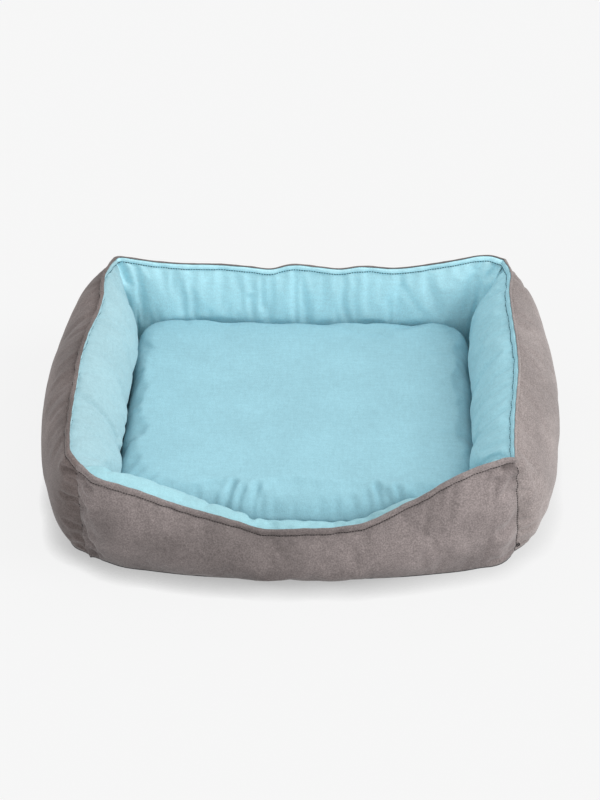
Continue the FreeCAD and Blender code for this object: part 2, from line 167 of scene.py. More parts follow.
class Wall:
    """The lines that one stuffed wall is built on."""

    DIRECTIONS = {"front": ((0, -1), (1, 0)), "back": ((0, 1), (-1, 0)),
                  "left": ((-1, 0), (0, -1)), "right": ((1, 0), (0, 1))}

    def __init__(self, name):
        self.name = name
        outward, along = self.DIRECTIONS[name]
        self.outward, self.along = np.array(outward, float), np.array(along, float)
        long_wall = name in ("front", "back")
        self.half_length, self.offset = (RIM_X, RIM_Y) if long_wall else (RIM_Y, RIM_X)
        self.s = self.even_stations()

    def pattern_top(self, s):
        """Height of the rim in the even pattern."""
        if self.name == "back":
            return BACK_MIDDLE_TOP + (BACK_CORNER_TOP - BACK_MIDDLE_TOP) * s ** 4
        if self.name == "front":
            rise = (np.abs(s) * self.half_length - ENTRY_HALF_LENGTH) / (self.half_length - ENTRY_HALF_LENGTH)
            return ENTRY_TOP + (FRONT_CORNER_TOP - ENTRY_TOP) * smooth_step(rise)
        towards_back = s if self.name == "right" else -s
        middle, rise = (BACK_CORNER_TOP + FRONT_CORNER_TOP) / 2, (BACK_CORNER_TOP - FRONT_CORNER_TOP) / 2
        return middle + rise * towards_back

    def line(self, s, drift):
        """Plan points of the rim or foot line: the pattern's bowed line, plus a drift in millimetres."""
        along = s * self.half_length + through(drift, 1, s) * MM
        out = self.offset + BOW[self.name] * (1 - s * s) + through(drift, 2, s) * MM
        return along[:, None] * self.along + out[:, None] * self.outward

    def rim(self, s):
        top = self.pattern_top(s) + through(RIM_DRIFT[self.name], 3, s) * MM
        return np.column_stack([self.line(s, RIM_DRIFT[self.name]), top])

    def even_stations(self):
        """Values of s whose rim points are about a cell apart, measured along the rim."""
        fine = np.linspace(-1, 1, 1200)
        run = run_along(self.rim(fine))
        return np.interp(np.linspace(0, run[-1], round(run[-1] / CELL) + 1), run, fine)

    def reach(self, side):
        return through(REACH[self.name, side], 1, self.s) * MM

    def lean(self, waviness=1.0):
        """How far the flange leans outwards at each station, in radians, with a little wander."""
        wave = np.sin(self.s * 17 + len(self.name)) * 6 + np.sin(self.s * 41) * 5 + np.sin(self.s * 83) * 5
        return np.radians(FLANGE_LEAN[self.name] + wave * waviness)

    def neck(self, waviness=1.0):
        """The stitch line under the flange."""
        rim, lean = self.rim(self.s), self.lean(waviness)
        line = rim.copy()
        line[:, :2] -= self.across() * (np.sin(lean) * FLANGE_HEIGHT)[:, None]
        line[:, 2] -= np.cos(lean) * FLANGE_HEIGHT
        return line

    def across(self):
        """Plan direction of each section: square to the wall, and along the mitre at its ends."""
        lean = np.sign(self.s) * np.abs(self.s) ** MITRE_POWER
        return self.outward + lean[:, None] * self.along


def face_profile(rows, shoulder, widest):
    """(share of reach, share of height) down a face: 1 and 0 in height are the neck and the base."""
    angle = np.linspace(0, TUCK_ANGLE, 400)
    height = np.where(np.cos(angle) > 0, widest + (1 - widest) * np.cos(angle),
                      widest + widest * np.cos(angle) / -math.cos(TUCK_ANGLE))
    out = np.where(np.cos(angle) > 0, np.sin(angle) ** shoulder, np.sin(angle) ** TUCK_POWER)
    run = np.concatenate([[0], np.cumsum(np.hypot(np.diff(out) * FACE_ASPECT, np.diff(height)))])
    even = np.linspace(0, run[-1], rows)
    return np.interp(even, run, out), np.interp(even, run, height)


def face_points(wall, side, rows):
    """The face of a panel as designed: an array of rows x stations x 3. The flange's wave dies out just
    below the stitch line."""
    neck, calm = wall.neck(), wall.neck(0.0)
    foot = wall.line(wall.s, FOOT_DRIFT[wall.name])
    across, reach = wall.across() * side, wall.reach(side)
    key = wall.name, side
    out_share, height_share = face_profile(rows, SHOULDER[key], WIDEST[key])
    points = np.zeros((rows, len(wall.s), 3))
    for r in range(rows):
        high = height_share[r]
        ripple = (neck - calm) * high ** RIPPLE_POWER
        spine = calm[:, :2] * high + foot * (1 - high)
        u = SEAM_GAP + CLOTH + reach * out_share[r]
        points[r, :, :2] = spine + ripple[:, :2] + across * u[:, None]
        points[r, :, 2] = BASE_Z + (calm[:, 2] - BASE_Z) * high + ripple[:, 2]
    return points


def leaf_points(wall, side):
    """The leaf of the flange, from its seam over its round top to the stitch line, a little uneven."""
    neck, lean, across = wall.neck(), wall.lean(), wall.across()
    run = run_along(wall.rim(wall.s))
    pucker = 1 + 0.16 * np.sin(run / STITCH_PITCH * 2.1) + 0.12 * np.sin(run / STITCH_PITCH * 0.83 + side)
    start = TURN_OVER if side > 0 else 0.0
    lower = 0.0 if side > 0 else LINING_LEAF_DROP
    points = np.zeros((LEAF_ROWS, len(wall.s), 3))
    for r in range(LEAF_ROWS):
        angle = start + (math.pi - start) * r / (LEAF_ROWS - 1)
        drop = (1 - math.cos(angle)) / 2
        round_out = math.copysign(math.sqrt(abs(math.sin(angle))), math.sin(angle))
        stand = SEAM_GAP + CLOTH * drop + (FLANGE_LEAF - CLOTH * drop) * round_out * pucker
        height = (FLANGE_HEIGHT - lower) * (1 - drop)
        out = stand * side * np.cos(lean * (1 - drop)) + height * np.sin(lean)
        points[r, :, :2] = neck[:, :2] + across * out[:, None]
        points[r, :, 2] = neck[:, 2] + height * np.cos(lean) - stand * side * np.sin(lean * (1 - drop))
    return points


# ---- meshes ----

def grid_faces(rows, columns, flip=False):
    r, c = np.meshgrid(np.arange(rows - 1), np.arange(columns - 1), indexing="ij")
    a = (r * columns + c).ravel()
    quads = np.column_stack([a, a + 1, a + columns + 1, a + columns])
    return quads[:, ::-1] if flip else quads


def new_piece(name, points, faces):
    """An object with a smooth-shaded mesh of these points, in any grid, and faces."""
    mesh = bpy.data.meshes.new(name)
    mesh.from_pydata(points.reshape(-1, 3).tolist(), [], [[int(i) for i in face] for face in faces])
    mesh.update()
    mesh.polygons.foreach_set("use_smooth", [True] * len(mesh.polygons))
    piece = bpy.data.objects.new(name, mesh)
    bpy.context.scene.collection.objects.link(piece)
    return piece


FRAMES = 22
GATHER_FRAMES = 9
CLOTH_SETTINGS = {"quality": 6, "mass": 0.15, "tension_stiffness": 25, "compression_stiffness": 25,
                  "shear_stiffness": 8, "bending_stiffness": 0.5, "air_damping": 1.0, "use_pressure": True}


def eased(wall, points, ease, square):
    """The cloth before it is gathered onto its seams: spread along the wall by its spare length. square is
    how far every row is cut as long as the longest one, which gathers a panel at its shorter rows."""
    own = np.linalg.norm(np.diff(points, axis=1), axis=2)
    spare = own * ease + (own.max(axis=0) - own) * square
    spread = np.concatenate([np.zeros((points.shape[0], 1)), np.cumsum(spare, axis=1)], axis=1)
    spread -= spread[:, -1:] / 2
    wide = points.copy()
    wide[:, :, :2] += spread[:, :, None] * wall.along
    return wide


def hang_cloth(name, cut, sewn, flip, pressure):
    """A sheet ready for Blender's cloth. It starts as cut, and its border is drawn to its sewn place while
    the rest follows."""
    sheet = new_piece(name, cut, grid_faces(*sewn.shape[:2], flip=flip))
    sheet.shape_key_add(name="cut")
    seams = sheet.shape_key_add(name="sewn")
    seams.data.foreach_set("co", sewn.ravel())
    for value, number in ((0.0, 1), (1.0, GATHER_FRAMES)):
        seams.value = value
        seams.keyframe_insert("value", frame=number)
    held = np.ones(sewn.shape[:2], bool)
    held[1:-1, 1:-1] = False
    group = sheet.vertex_groups.new(name="seams")
    group.add(np.flatnonzero(held).tolist(), 1.0, "REPLACE")
    cloth = sheet.modifiers.new("Cloth", "CLOTH")
    cloth.point_cache.frame_start = 1
    cloth.point_cache.frame_end = FRAMES
    rule = cloth.settings
    for setting, value in CLOTH_SETTINGS.items():
        setattr(rule, setting, value)
    rule.uniform_pressure_force = pressure
    rule.vertex_group_mass = "seams"
    rule.effector_weights.gravity = 0.0
    return sheet


def settle(sheets):
    """Runs the cloth of every sheet together and returns their points, then removes the sheets."""
    scene = bpy.context.scene
    scene.frame_start, scene.frame_end = 1, FRAMES
    for number in range(1, FRAMES + 1):
        scene.frame_set(number)
    graph = bpy.context.evaluated_depsgraph_get()
    results = []
    for sheet in sheets:
        mesh = sheet.evaluated_get(graph).data
        points = np.zeros(len(mesh.vertices) * 3)
        mesh.vertices.foreach_get("co", points)
        results.append(points.reshape(-1, 3))
    for sheet in sheets:
        bpy.data.objects.remove(sheet)
    scene.frame_set(1)
    return results


# ---- stuffed walls ----

FACE_ROWS = 44
CORNER_BLEND = 45 * MM    # how far along a panel its end is shifted to meet its neighbour
# How far the columns beside a corner seam roll into it, in millimetres, the seam's own column first.
SEAM_ROLL = {1: (5.5, 2.6, 0.8), -1: (6.0, 3.0, 1.0)}
FURTHEST = 9 * MM         # how far the cloth may settle from its designed place
# How much longer each panel is cut than its seams, how far its shorter rows are cut as long as its longest,
# and its pressure.
SEWING = {
    ("left", 1): (0.002, 0.0, 18), ("left", -1): (0.018, 0.1, 14),
    ("right", 1): (0.006, 0.03, 18), ("right", -1): (0.025, 0.14, 14),
    ("front", 1): (0.01, 0.04, 16), ("front", -1): (0.026, 0.12, 14),
    ("back", 1): (0.014, 0.06, 18), ("back", -1): (0.028, 0.14, 14),
}
SIDE_NAMES = {1: "outer_panel", -1: "lining_panel"}
RING = ("left", "front", "right", "back")
CORNERS = tuple(zip(RING, RING[1:] + RING[:1]))


def meet_at_corners(designs, side):
    """Brings the end columns of neighbouring panels together on their shared corner seam."""
    for name, following in CORNERS:
        first, second = designs[name, side], designs[following, side]
        seam = (first[:, -1] + second[:, 0]) / 2
        for points, end in ((first, -1), (second, 0)):
            shift = seam - points[:, end]
            away = np.linalg.norm(points[0] - points[0, end], axis=1)
            share = np.clip(1 - away / CORNER_BLEND, 0, 1) ** 2
            points += shift[:, None, :] * share[None, :, None]


def roll_into_seams(points, side):
    """Draws the columns beside the two corner seams in towards the corner's own middle line."""
    for end, step in ((0, 1), (-1, -1)):
        seam = points[:, end].copy()
        spine = points[0, end, :2]
        inward = spine - seam[:, :2]
        length = np.linalg.norm(inward, axis=1)
        direction = inward / np.maximum(length, 1e-6)[:, None]
        for column, depth in enumerate(SEAM_ROLL[side]):
            draw = np.minimum(depth * MM, length * 0.5)
            index = end + step * column
            points[LEAF_ROWS:, index, :2] += (direction * draw[:, None])[LEAF_ROWS:]


def wander(points, scale, size, seed):
    """Smooth seeded noise, one value for each point."""
    shape = points.shape[:-1]
    flat = points.reshape(-1, 3) * scale
    offset = Vector((seed * 7.3, seed * 3.1, seed * 11.7))
    values = [noise.noise(Vector(p) + offset) for p in flat]
    return np.array(values).reshape(shape) * size


def normals_of(points):
    """Unit normals of a grid of points."""
    down = np.gradient(points, axis=0)
    along = np.gradient(points, axis=1)
    normal = np.cross(along, down)
    return normal / np.maximum(np.linalg.norm(normal, axis=2), 1e-9)[:, :, None]


walls = {name: Wall(name) for name in RING}
designs = {(name, side): np.concatenate([leaf_points(wall, side)[:-1], face_points(wall, side, FACE_ROWS)])
           for name, wall in walls.items() for side in (1, -1)}
for side in (1, -1):
    meet_at_corners(designs, side)
for (name, side), points in designs.items():
    roll_into_seams(points, side)


def settled_faces():
    """The faces after the cloth has been gathered onto its seams and blown out by the filling."""
    sheets = []
    for number, ((name, side), points) in enumerate(designs.items()):
        face = points[LEAF_ROWS - 1:]
        ease, square, pressure = SEWING[name, side]
        cut = eased(walls[name], face, ease, square)
        bias = wander(face, 24, 1.2 * MM, number) + wander(face, 60, 0.5 * MM, number + 9)
        cut[:, :, :2] += bias[:, :, None] * (walls[name].across() * side)[None]
        sheets.append(hang_cloth(f"cloth_{name}_{SIDE_NAMES[side]}", cut, face, side > 0, pressure))
    return dict(zip(designs, settle(sheets)))


def cap(points, design, furthest):
    """Keeps each point within a distance of its designed place."""
    move = points - design
    length = np.linalg.norm(move, axis=2)
    share = furthest * np.tanh(length / furthest) / np.maximum(length, 1e-9)
    return design + move * share[:, :, None]


# Creases that the sewing has left in each panel: s and level of each point that one runs through, level 0 at
# the stitch line and 1 at the base seam, then its depth and half width in millimetres.
CREASES = {
    ("back", -1): [
        (0.694, 0, 0.704, 0.17, 1.9, 3), (0.652, 0.26, 0.657, 0.54, 1.6, 4),
        (0.595, 0.22, 0.597, 0.54, 1.2, 4), (0.31, 0.25, 0.292, 0.5, 1.9, 3.2),
        (0.518, 0.4, 0.52, 0.56, 1.4, 3), (0.43, 0.42, 0.432, 0.56, 1.2, 2.6),
        (0.378, 0.44, 0.375, 0.56, 1.2, 2.6), (0.243, 0, 0.252, 0.17, 0.243, 0.34, 2.5, 3),
        (0.07, -0.02, 0.078, 0.2, 0.072, 0.54, 2.8, 2.8), (0.041, 0.03, 0.02, 0.36, 1.9, 5),
        (-0.176, 0, -0.184, 0.13, -0.171, 0.25, -0.206, 0.52, 2.8, 3), (-0.463, 0, -0.476, 0.13, 2.2, 2.6),
        (-0.485, 0.16, -0.575, 0.38, 1.4, 5), (-0.6, 0.08, -0.695, 0.46, 1.4, 6),
        (-0.71, 0.05, -0.756, 0.16, 0.9, 4), (-0.98, -0.03, -0.955, 0.12, 6, 5), (0.98, 0, 0.96, 0.18, 5, 4)],
    ("left", -1): [
        (0.33, 0.02, 0.43, 0.42, 7, 3), (0.2, 0.3, 0.29, 0.6, 3, 3.5), (-0.12, 0.05, -0.08, 0.32, 2.4, 3),
        (-0.44, 0.04, -0.46, 0.34, 4.5, 2.6), (-0.39, 0.08, -0.4, 0.34, 3, 2.6),
        (-0.985, 0, -0.965, 0.14, 5, 4), (0.06, 0.4, 0.12, 0.62, 3, 3.5), (0, 0.36, 0.06, 0.6, 2.2, 3),
        (0.62, 0.1, 0.66, 0.4, 2.2, 4)],
    ("right", -1): [
        (-0.05, 0.45, 0.06, 0.1, 3, 4), (-0.33, 0.42, -0.27, 0.02, 3.4, 3.2),
        (-0.46, 0.36, -0.38, 0.02, 3.4, 3), (-0.6, 0.32, -0.5, 0.02, 2.8, 3),
        (-0.16, 0.3, -0.1, 0.02, 2.5, 3), (0.3, 0.3, 0.36, 0, 2.4, 3.2), (0.985, 0, 0.965, 0.12, 6, 5)],
    ("front", -1): [
        (-0.203, -0.03, -0.19, 0.6, 6, 4.5), (0.222, -0.03, 0.215, 0.6, 6, 4.5),
        (-0.3, 0.1, -0.28, 0.5, 2, 3), (-0.42, 0.08, -0.38, 0.5, 2, 3), (-0.52, 0.1, -0.49, 0.5, 1.6, 3),
        (-0.66, 0.1, -0.64, 0.4, 1.5, 4), (0.02, 0.1, 0.04, 0.4, 1.2, 4), (0.4, 0.1, 0.38, 0.5, 2, 3.5)],
    ("front", 1): [
        (-0.1, 0.1, -0.06, 0.3, 1, 5), (0.28, 0.06, 0.3, 0.26, 1.2, 4), (0.6, 0.04, 0.57, 0.4, 1.2, 4),
        (0.72, 0.02, 0.7, 0.3, 1.4, 4), (-0.97, 0.72, -0.9, 0.85, 2.5, 3),
        (-0.98, 0.86, -0.93, 0.93, 2.5, 3), (0.97, 0.1, 0.9, 0.2, 2, 3), (0.98, 0.55, 0.93, 0.62, 1.6, 3)],
    ("left", 1): [
        (0.98, 0.05, 0.9, 0.16, 2.5, 3), (0.97, 0.7, 0.9, 0.8, 2.5, 3.5), (0.98, 0.84, 0.92, 0.9, 2.5, 3),
        (0.4, 0.02, 0.42, 0.2, 1.6, 5), (0, 0.02, 0.03, 0.2, 1.4, 5), (-0.45, 0.02, -0.42, 0.25, 1.4, 5)],
    ("back", 1): [(0.3, 0.02, 0.32, 0.2, 1.6, 5), (-0.4, 0.02, -0.42, 0.16, 1.6, 5)],
    ("right", 1): [
        (-0.98, 0, -0.9, 0.06, 3, 3), (-0.97, 0.5, -0.92, 0.56, 1.6, 3), (0.1, 0.01, 0.12, 0.16, 1.6, 4),
        (0.45, 0.01, 0.48, 0.18, 1.6, 4), (-0.97, 0.86, -0.9, 0.93, 2, 3)],
}


# Puckers down each outer corner seam, unevenly spaced. The sines vary their reach, slant and depth.
PUCKER_START, PUCKER_WIDTH = 0.985, 2.8
PUCKER_LEVELS = (0.04, 0.1, 0.19, 0.25, 0.37, 0.46, 0.58, 0.64, 0.76, 0.83, 0.92)
for wall_name in RING:
    for end in (-1, 1):
        for step, level in enumerate(PUCKER_LEVELS):
            turn = step * 2.3 + end + len(wall_name) * 1.3
            reach, slant = 0.05 + 0.028 * math.sin(turn * 1.7), 0.035 * math.sin(turn)
            depth = 2.6 + 1.2 * math.sin(turn * 0.9) + 2 * (step < 2)
            line = end * PUCKER_START, level, end * (PUCKER_START - reach), level + slant
            CREASES[wall_name, 1].append((*line, depth, PUCKER_WIDTH))


def crease_depth(place, lines):
    """How deep each point is pressed, the cloth standing up a little beside each crease. place gives the
    points' plan, and lines the creases in it: (points, depth, half width), all in metres."""
    press = np.zeros(place.shape[:2])
    for line, depth, width in lines:
        nearest = np.full(press.shape, 1e9)
        for a, b in zip(line, line[1:]):
            a, run = np.array(a), np.array(b) - np.array(a)
            share = np.clip(((place - a) @ run) / (run @ run), 0, 1)
            nearest = np.minimum(nearest, np.linalg.norm(place - a - share[:, :, None] * run, axis=2))
        d = nearest / width
        press += depth * (np.exp(-d ** 2) - 0.3 * np.exp(-((d - 2.1) / 1.1) ** 2))
    return press


def pressed_creases(points, creases, into):
    """Presses a panel's creases into its face."""
    rows, columns = points.shape[:2]
    across, down = run_along(points[0]), run_along(points[:, columns // 2])
    s_of_columns = np.linspace(-1, 1, columns)
    lines = []
    for *line, depth, width in creases:
        stations = [(np.interp(s, s_of_columns, across), level * down[-1])
                    for s, level in zip(line[::2], line[1::2])]
        lines.append((stations, depth * MM, width * MM))
    press = crease_depth(np.stack(np.meshgrid(across, down), axis=2), lines)
    press *= np.minimum(1, np.arange(rows) / 1.5)[:, None]
    return points + into * press[:, :, None]


for key, creases in CREASES.items():
    face = designs[key][LEAF_ROWS - 1:]
    into = np.zeros(face.shape)
    into[:, :, :2] = -(walls[key[0]].across() * key[1])[None]
    designs[key][LEAF_ROWS - 1:] = pressed_creases(face, creases, into)

for key, points in settled_faces().items():
    face = designs[key][LEAF_ROWS - 1:]
    calm = cap(points.reshape(face.shape), face, FURTHEST)
    calm[:, :, 2] = np.maximum(calm[:, :, 2], BASE_Z)
    designs[key][LEAF_ROWS - 1:] = calm

# ---- loose cushion ----

CUSHION_LOW = np.array(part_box("cushion_bottom_panel")[0])
CUSHION_HIGH = np.array(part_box("cushion_top_panel")[1])
CUSHION_SEAM = edge("cushion_top_panel", 2, False)
# It lies off its middle and presses against the walls, so it is larger than the CAD's.
CUSHION_MIDDLE = (CUSHION_LOW[:2] + CUSHION_HIGH[:2]) / 2 + (-4 * MM, -7 * MM)
CUSHION_HALF = (CUSHION_HIGH[:2] - CUSHION_LOW[:2]) / 2 + (7 * MM, 9 * MM)
CORNER_POWER = 10         # how square the corners are
CUSHION_CELL = 3.7 * MM
PLUMP_EDGE = 13 * MM      # the rounded edge next to the seam
FRONT_PLUMP = 9 * MM      # how much wider it is along the front
EDGE_RISE = 0.93          # how much of the cushion's rise is in that edge
DOME_RUN = 110 * MM       # how far in from the edge the rest of the rise is reached
CUSHION_EASE = 1.013      # how much larger the cushion's cloth is cut than its seam
CUSHION_PRESSURE = 3.0
CUSHION_FURTHEST = 7 * MM
CREASE_FADE = 15 * MM     # height above the seam at which the creases reach their full depth
# Creases over the cushion, in plan: x and y of each point, then depth and half width, in millimetres.
CUSHION_CREASES = [
    (-128, -190, -114, -166, 3.4, 3.4), (-104, -190, -94, -170, 2.9, 2.6), (-88, -190, -74, -154, 5.6, 3),
    (-76, -190, -64, -162, 4.8, 2.6), (-66, -190, -58, -170, 3.8, 2.2), (-57, -190, -48, -158, 5.6, 3),
    (-46, -190, -43, -168, 4.4, 2.6), (-30, -190, -29, -174, 2.6, 3), (-8, -190, -8, -176, 2.2, 3.4),
    (22, -190, 20, -172, 2.6, 3), (40, -190, 38, -170, 3.4, 2.8), (60, -190, 56, -170, 3.8, 3),
    (78, -190, 72, -164, 4.4, 3), (92, -190, 82, -156, 5.6, 3), (103, -190, 93, -164, 4.4, 2.6),
    (116, -190, 105, -160, 5.6, 3), (128, -190, 119, -170, 3.8, 2.6), (20, 160, 66, 138, 96, 134, 2, 7),
    (150, 38, 178, 32, 200, 22, 1, 6), (-212, 60, -192, 55, 1.6, 3), (-212, -22, -190, -25, 2, 3),
    (-212, -74, -192, -77, 2, 3), (150, 100, 196, 92, 1.2, 5), (160, -60, 196, -66, 1.4, 4)]


def square_norm(x, y, half=(1, 1), middle=(0, 0)):
    """1 on the outline of a rounded rectangle, less inside it."""
    u, v = np.abs((x - middle[0]) / half[0]), np.abs((y - middle[1]) / half[1])
    return (u ** CORNER_POWER + v ** CORNER_POWER) ** (1 / CORNER_POWER)


def plump_edge(y):
    """The width of the rounded edge, wider towards the front."""
    return PLUMP_EDGE + FRONT_PLUMP * smooth_step(((CUSHION_MIDDLE[1] - y) / CUSHION_HALF[1] - 0.55) / 0.4)


def cushion_half(upward):
    """A grid of points over one half of the cushion, from its seam to its crown or its flat underside."""
    columns, rows = (int(2 * half / CUSHION_CELL) + 1 for half in CUSHION_HALF)
    p, q = np.meshgrid(np.linspace(-1, 1, columns), np.linspace(-1, 1, rows))
    square = np.maximum(np.abs(p), np.abs(q))
    share = square / np.maximum(square_norm(p, q), 1e-9)
    points = np.zeros((rows, columns, 3))
    for axis, spread in enumerate((p, q)):
        points[:, :, axis] = CUSHION_MIDDLE[axis] + spread * share * CUSHION_HALF[axis]
    inward = (1 - square) * CUSHION_HALF[1]
    plump = plump_edge(points[:, :, 1])
    roll = np.clip(inward / plump, 0, 1)
    edge_share = np.sqrt(1 - (1 - roll) ** 2)
    if upward:
        dome = smooth_step((inward - plump * 0.3) / DOME_RUN)
        rise = CUSHION_HIGH[2] - 1 * MM - CUSHION_SEAM
        points[:, :, 2] = CUSHION_SEAM + rise * (EDGE_RISE * edge_share + (1 - EDGE_RISE) * dome)
    else:
        points[:, :, 2] = CUSHION_SEAM - (CUSHION_SEAM - CUSHION_LOW[2] - 0.6 * MM) * edge_share
    return points


def settled_cushion(halves):
    """The cushion's halves after their cloth has been gathered onto the seam between them and blown out."""
    sheets = []
    for upward, points in halves.items():
        cut = points.copy()
        cut[:, :, :2] = CUSHION_MIDDLE + (points[:, :, :2] - CUSHION_MIDDLE) * CUSHION_EASE
        cut[:, :, 2] += wander(points, 22, 1.5 * MM, 31)
        sheets.append(hang_cloth(f"cloth_cushion_{upward}", cut, points, not upward, CUSHION_PRESSURE))
    return dict(zip(halves, settle(sheets)))


cushion = {upward: cushion_half(upward) for upward in (True, False)}
for upward, points in settled_cushion(cushion).items():
    grid = cushion[upward]
    calm = cap(points.reshape(grid.shape), grid, CUSHION_FURTHEST)
    norm = square_norm(calm[:, :, 0], calm[:, :, 1], CUSHION_HALF, CUSHION_MIDDLE)
    back_in = np.minimum(1, 1 / norm)[:, :, None]
    calm[:, :, :2] = CUSHION_MIDDLE + (calm[:, :, :2] - CUSHION_MIDDLE) * back_in
    calm[:, :, 2] = np.clip(calm[:, :, 2], CUSHION_LOW[2], CUSHION_HIGH[2])
    cushion[upward] = calm

lines = [(np.reshape(line, (-1, 2)) * MM, depth * MM, width * MM)
         for *line, depth, width in CUSHION_CREASES]
top = cushion[True]
from_seam = np.clip((top[:, :, 2] - CUSHION_SEAM) / CREASE_FADE, 0, 1)
top[:, :, 2] -= crease_depth(top[:, :, :2], lines) * from_seam

# The linings lean on the cushion and follow its rounded edge, then part from it above its top.
LINING_PART = 14 * MM
LINING_CLEARANCE = {"left": 1.6 * MM, "right": 1.6 * MM, "back": 1.2 * MM, "front": 4.5 * MM}
for name in RING:
    points = designs[name, -1]
    rise = np.clip((points[:, :, 2] - CUSHION_SEAM) / (CUSHION_HIGH[2] - CUSHION_SEAM), 0, 1)
    inset = plump_edge(points[:, :, 1]) * (1 - np.sqrt(1 - rise ** 2)) - LINING_CLEARANCE[name]
    half = CUSHION_HALF[:, None, None] - inset
    norm = square_norm(points[:, :, 0], points[:, :, 1], half, CUSHION_MIDDLE)
    low = 1 - smooth_step((points[:, :, 2] - CUSHION_HIGH[2] - 1 * MM) / LINING_PART)
    push = 1 + (1 / np.minimum(norm, 1) - 1) * low
    points[:, :, :2] = CUSHION_MIDDLE + (points[:, :, :2] - CUSHION_MIDDLE) * push[:, :, None]


# ---- pieces ----

def finish_piece(piece, body, replaces, material):
    """Gives a piece its body, slot and material, and hides the CAD nodes that it stands for."""
    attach(piece, body)
    if replaces:
        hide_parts(*replaces)
    piece.data.materials.append(material)
    return piece


def cloth_panel(name, points, flip):
    """A grid of points as a closed panel of cloth, its thickness on the stuffing's side."""
    piece = new_piece(name, points, grid_faces(*points.shape[:2], flip=flip))
    smooth = piece.modifiers.new("Subdivision", "SUBSURF")
    smooth.levels = smooth.render_levels = 1
    thick = piece.modifiers.new("Solidify", "SOLIDIFY")
    thick.thickness = CLOTH
    thick.offset = -1
    return piece


def tube_between(rings):
    """Vertices and faces of a closed form through a list of equal rings of points, its ends filled in."""
    count = len(rings[0])
    points = np.concatenate(rings)
    faces = []
    for i in range(len(rings) - 1):
        for j in range(count):
            a, b = i * count + j, i * count + (j + 1) % count
            faces.append((a, b, b + count, a + count))
    faces.append(tuple(range(count))[::-1])
    faces.append(tuple(range(len(points) - count, len(points))))
    return points, faces


# ---- materials ----

def new_material(name):
    """A material with one Principled shader, its node tree and that shader."""
    made = bpy.data.materials.new(name)
    made.use_nodes = True
    tree = made.node_tree
    tree.nodes.clear()
    output = tree.nodes.new("ShaderNodeOutputMaterial")
    shader = tree.nodes.new("ShaderNodeBsdfPrincipled")
    tree.links.new(shader.outputs["BSDF"], output.inputs["Surface"])
    return made, tree, shader


def set_inputs(node, values):
    for socket, value in values.items():
        node.inputs[socket].default_value = value


def noise_value(tree, place, stretch, detail=3.0, roughness=0.55, swirl=0.0):
    """A noise texture's value over the piece's own coordinates, stretch in waves per metre each way."""
    mapping = tree.nodes.new("ShaderNodeMapping")
    texture = tree.nodes.new("ShaderNodeTexNoise")
    set_inputs(mapping, {"Scale": stretch})
    set_inputs(texture, {"Scale": 1.0, "Detail": detail, "Roughness": roughness, "Distortion": swirl})
    tree.links.new(place, mapping.inputs["Vector"])
    tree.links.new(mapping.outputs["Vector"], texture.inputs["Vector"])
    return texture.outputs["Fac"]


def ramp(tree, value, low, high, dark, light):
    """Maps low..high of a value to dark..light."""
    node = tree.nodes.new("ShaderNodeMapRange")
    node.interpolation_type = "SMOOTHSTEP"
    set_inputs(node, {"From Min": low, "From Max": high, "To Min": dark, "To Max": light})
    tree.links.new(value, node.inputs["Value"])
    return node.outputs["Result"]


def combine(tree, operation, first, second):
    """A Math node over two values, each a socket or a number."""
    node = tree.nodes.new("ShaderNodeMath")
    node.operation = operation
    for index, value in enumerate((first, second)):
        if hasattr(value, "links"):
            tree.links.new(value, node.inputs[index])
        else:
            node.inputs[index].default_value = value
    return node.outputs["Value"]


def along_axis(tree, place, axis, low, high, dark, light):
    """A gradual change of painted light and shade along X, Y or Z, darker or lighter from end to end."""
    split = tree.nodes.new("ShaderNodeSeparateXYZ")
    tree.links.new(place, split.inputs["Vector"])
    return ramp(tree, split.outputs[axis], low, high, dark, light)


FIBRE = 700               # waves per metre of the pile


def cloth_material(name, colour, layers, sheen=0.2, sheen_tint=(1, 1, 1), painted_shading=()):
    """Short-pile cloth. layers is (stretch, low, high, dark, light, swirl) of each pattern in its shade."""
    made, tree, shader = new_material(name)
    place = tree.nodes.new("ShaderNodeTexCoord").outputs["Object"]
    shade = 1.0
    # Painted light and shade: gradients along an axis, darker towards the base or lighter towards the light.
    for gradient in painted_shading:
        shade = combine(tree, "MULTIPLY", shade, along_axis(tree, place, *gradient))
    for stretch, low, high, dark, light, *swirl in layers:
        value = ramp(tree, noise_value(tree, place, stretch, swirl=sum(swirl)), low, high, dark, light)
        shade = combine(tree, "MULTIPLY", shade, value)
    pile = noise_value(tree, place, (FIBRE, FIBRE, FIBRE), detail=2.0, roughness=0.7)
    shade = combine(tree, "MULTIPLY", shade, ramp(tree, pile, 0.25, 0.75, 0.93, 1.07))
    tint = tree.nodes.new("ShaderNodeVectorMath")
    tint.operation = "SCALE"
    tint.inputs[0].default_value = colour
    tree.links.new(shade, tint.inputs["Scale"])
    tree.links.new(tint.outputs["Vector"], shader.inputs["Base Color"])
    set_inputs(shader, {"Roughness": 0.92, "Specular IOR Level": 0.12, "Sheen Weight": sheen,
                        "Sheen Roughness": 0.45, "Sheen Tint": (*sheen_tint, 1)})
    relief = tree.nodes.new("ShaderNodeBump")
    set_inputs(relief, {"Strength": 0.5, "Distance": 0.8 * MM})
    tree.links.new(pile, relief.inputs["Height"])
    tree.links.new(relief.outputs["Normal"], shader.inputs["Normal"])
    return made


